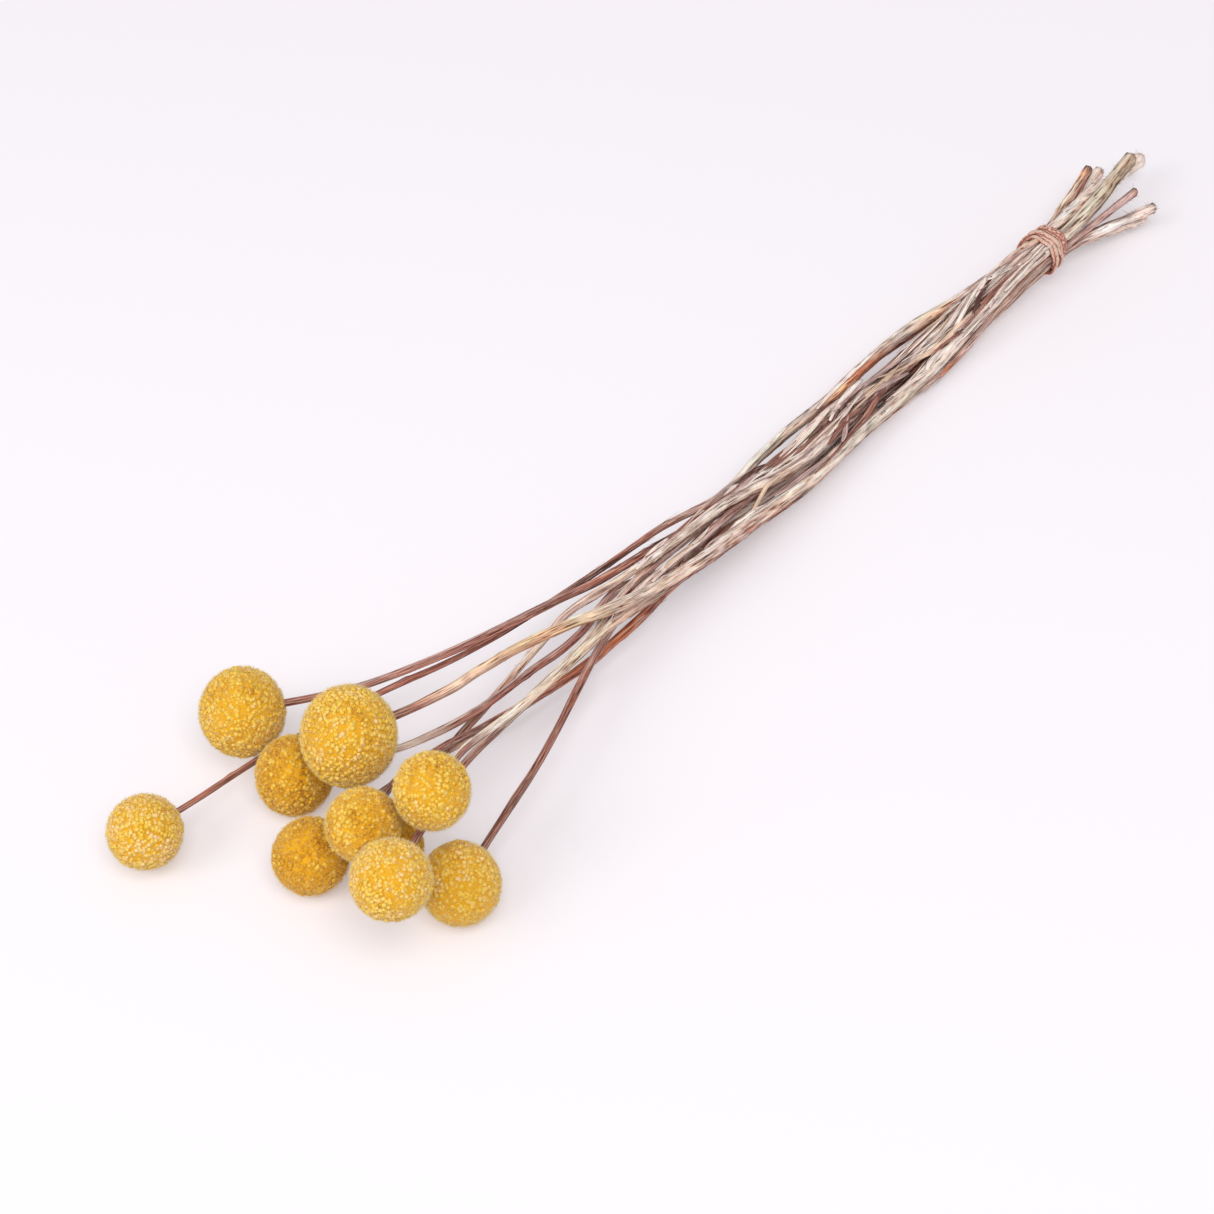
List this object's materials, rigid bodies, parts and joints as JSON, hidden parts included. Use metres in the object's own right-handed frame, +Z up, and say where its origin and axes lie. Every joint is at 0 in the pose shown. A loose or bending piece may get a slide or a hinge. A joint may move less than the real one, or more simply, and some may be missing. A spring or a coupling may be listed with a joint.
{
  "type": "bunch of dried billy buttons",
  "caption": "Dried bunch of ball-shaped yellow flower heads on slender stems, tied near the cut ends with a rubber band and lying on its side, for floral decoration.",
  "frame": {"origin": "centre of the bounding box, at the height of the surface the bunch lies on", "axes": "+X along the bunch towards the cut ends of the stems, +Y across it, +Z up from the surface"},
  "size_m": [0.4944, 0.1196, 0.0566],
  "materials": {
    "flower_head": "dry, matt and finely fuzzy, mustard yellow with paler floret tips",
    "dry_stem": "dry, matt, ribbed along its length, red-brown to tan with woolly grey-white patches",
    "band_rubber": "soft satin, dusty red-brown"
  },
  "bodies": {
    "root": {"head_01": "flower_head", "head_02": "flower_head", "head_03": "flower_head", "head_04": "flower_head", "head_05": "flower_head", "head_06": "flower_head", "head_07": "flower_head", "head_08": "flower_head", "head_09": "flower_head", "head_10": "flower_head", "stem_01": "dry_stem", "stem_02": "dry_stem", "stem_03": "dry_stem", "stem_04": "dry_stem", "stem_05": "dry_stem", "stem_06": "dry_stem", "stem_07": "dry_stem", "stem_08": "dry_stem", "stem_09": "dry_stem", "stem_10": "dry_stem", "rubber_band": "band_rubber"}
  },
  "joints": []
}
